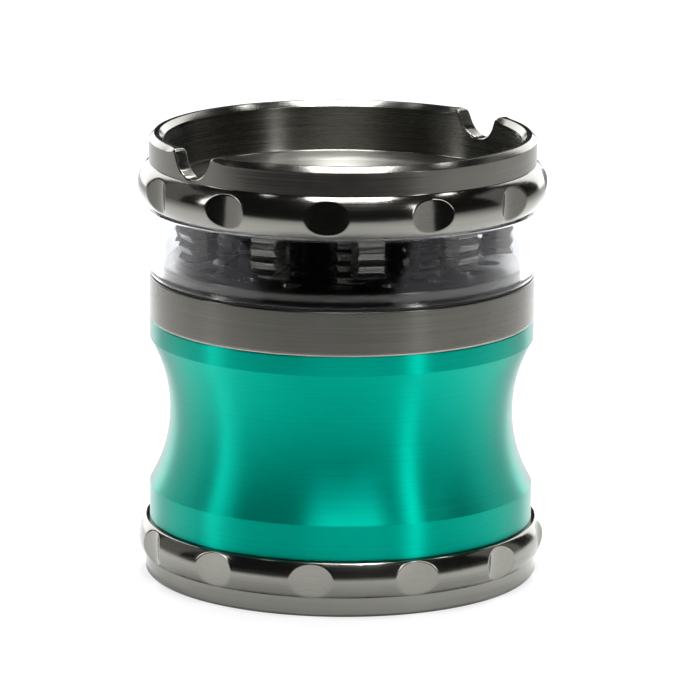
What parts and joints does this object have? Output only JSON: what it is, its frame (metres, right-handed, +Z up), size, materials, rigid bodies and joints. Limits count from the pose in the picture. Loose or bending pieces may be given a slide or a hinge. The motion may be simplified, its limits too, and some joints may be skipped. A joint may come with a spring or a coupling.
{
  "type": "herb grinder",
  "caption": "Round hand grinder with an ashtray lid on a clear grinding chamber, a waisted drum and a screw-on catch base.",
  "frame": {"origin": "centre of the flat underside", "axes": "+Z up along the axis of the turned bodies, -Y towards the front"},
  "size_m": [0.0628, 0.0628, 0.0686],
  "materials": {
    "gunmetal_polished": "polished anodised",
    "gunmetal_turned": "satin anodised, turned",
    "green_anodised": "satin anodised, turned",
    "clear_acrylic": "clear, polished",
    "nylon": "natural",
    "seal_black": "matt",
    "steel_mesh": "woven wire",
    "steel_ring": "turned",
    "nickel": "plated"
  },
  "bodies": {
    "base": {"catch_base": "gunmetal_polished"},
    "base_seal": {"base_washer": "nylon"},
    "drum": {"drum": "green_anodised", "screen_mesh": "steel_mesh", "screen_gasket": "seal_black", "screen_ring": "steel_ring"},
    "plate_seal": {"plate_washer": "nylon"},
    "chamber": {"tooth_plate": "gunmetal_turned", "plate_magnet": "nickel", "window_gasket": "seal_black", "window_ring": "clear_acrylic"},
    "glide": {"glide_ring": "nylon"},
    "lid": {"ashtray_lid": "gunmetal_polished", "lid_magnet": "nickel"}
  },
  "joints": [
    {"name": "drum_unscrew", "type": "hinge", "parent": "base", "child": "base_seal", "pos_m": [0, 0, 0.0085], "axis": [0, 0, 1], "range_deg": [0, 720]},
    {"name": "drum_rise", "type": "slide", "parent": "base_seal", "child": "drum", "axis": [0, 0, 1], "range_m": [0, 0.004]},
    {"name": "plate_unscrew", "type": "hinge", "parent": "drum", "child": "plate_seal", "pos_m": [0, 0, 0.04], "axis": [0, 0, 1], "range_deg": [0, 900]},
    {"name": "plate_rise", "type": "slide", "parent": "plate_seal", "child": "chamber", "axis": [0, 0, 1], "range_m": [0, 0.005]},
    {"name": "lid_spin", "type": "hinge", "parent": "chamber", "child": "glide", "pos_m": [0, 0, 0.0576], "axis": [0, 0, 1], "continuous": true},
    {"name": "lid_lift", "type": "slide", "parent": "glide", "child": "lid", "axis": [0, 0, 1], "range_m": [0, 0.03]}
  ],
  "couplings": [
    {"joint": "drum_rise", "follows": "drum_unscrew", "m_per_rad": 0.0003183},
    {"joint": "plate_rise", "follows": "plate_unscrew", "m_per_rad": 0.0003183}
  ]
}
